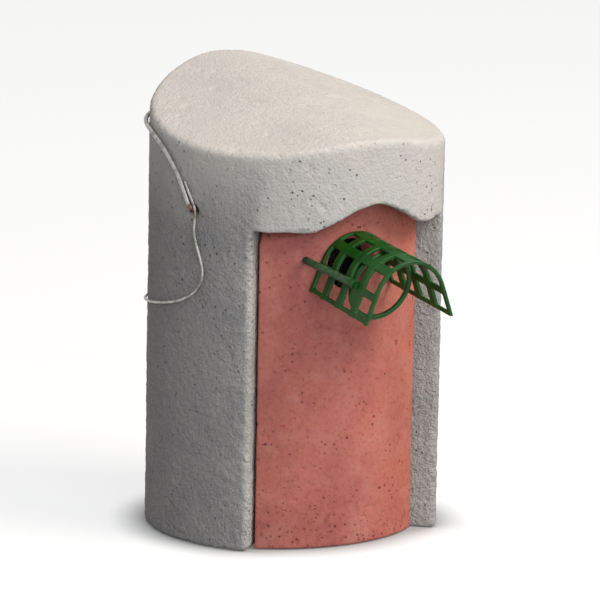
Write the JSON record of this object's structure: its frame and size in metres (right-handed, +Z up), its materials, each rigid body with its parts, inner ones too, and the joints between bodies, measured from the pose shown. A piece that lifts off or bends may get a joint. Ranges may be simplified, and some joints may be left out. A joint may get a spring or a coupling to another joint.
{
  "type": "nest box",
  "caption": "Round wood-concrete nest box with a vaulted roof, a removable brick-red front, a green plastic entrance guard and hanging wires.",
  "frame": {"origin": "on the base, on the axis of the round body", "axes": "+Z up, front with the entrance towards -Y, +X to the right as seen from the front"},
  "size_m": [0.2066, 0.2528, 0.3116],
  "materials": {
    "casting": "matt",
    "red_casting": "matt",
    "green_plastic": "satin",
    "zinc_wire": "satin"
  },
  "bodies": {
    "body": {"roof": "casting", "floor": "casting", "fascia_left": "casting", "fascia_centre": "casting", "fascia_right": "casting", "wall_front_right": "casting", "wall_side_right": "casting", "wall_rear_right": "casting", "wall_rear_left": "casting", "wall_side_left": "casting", "wall_front_left": "casting", "pivot_pin_left": "zinc_wire", "pivot_pin_right": "zinc_wire", "hanging_wire": "zinc_wire", "tie_wire": "zinc_wire"},
    "front": {"front_panel": "red_casting", "guard_left_side": "green_plastic", "guard_crown": "green_plastic", "guard_right_side": "green_plastic", "guard_ring": "green_plastic", "guard_rod": "green_plastic"}
  },
  "joints": [
    {"name": "front_tilt", "type": "hinge", "parent": "body", "child": "front", "pos_m": [0, -0.0569, 0.227], "axis": [-1, 0, 0], "range_deg": [0, 20]}
  ]
}
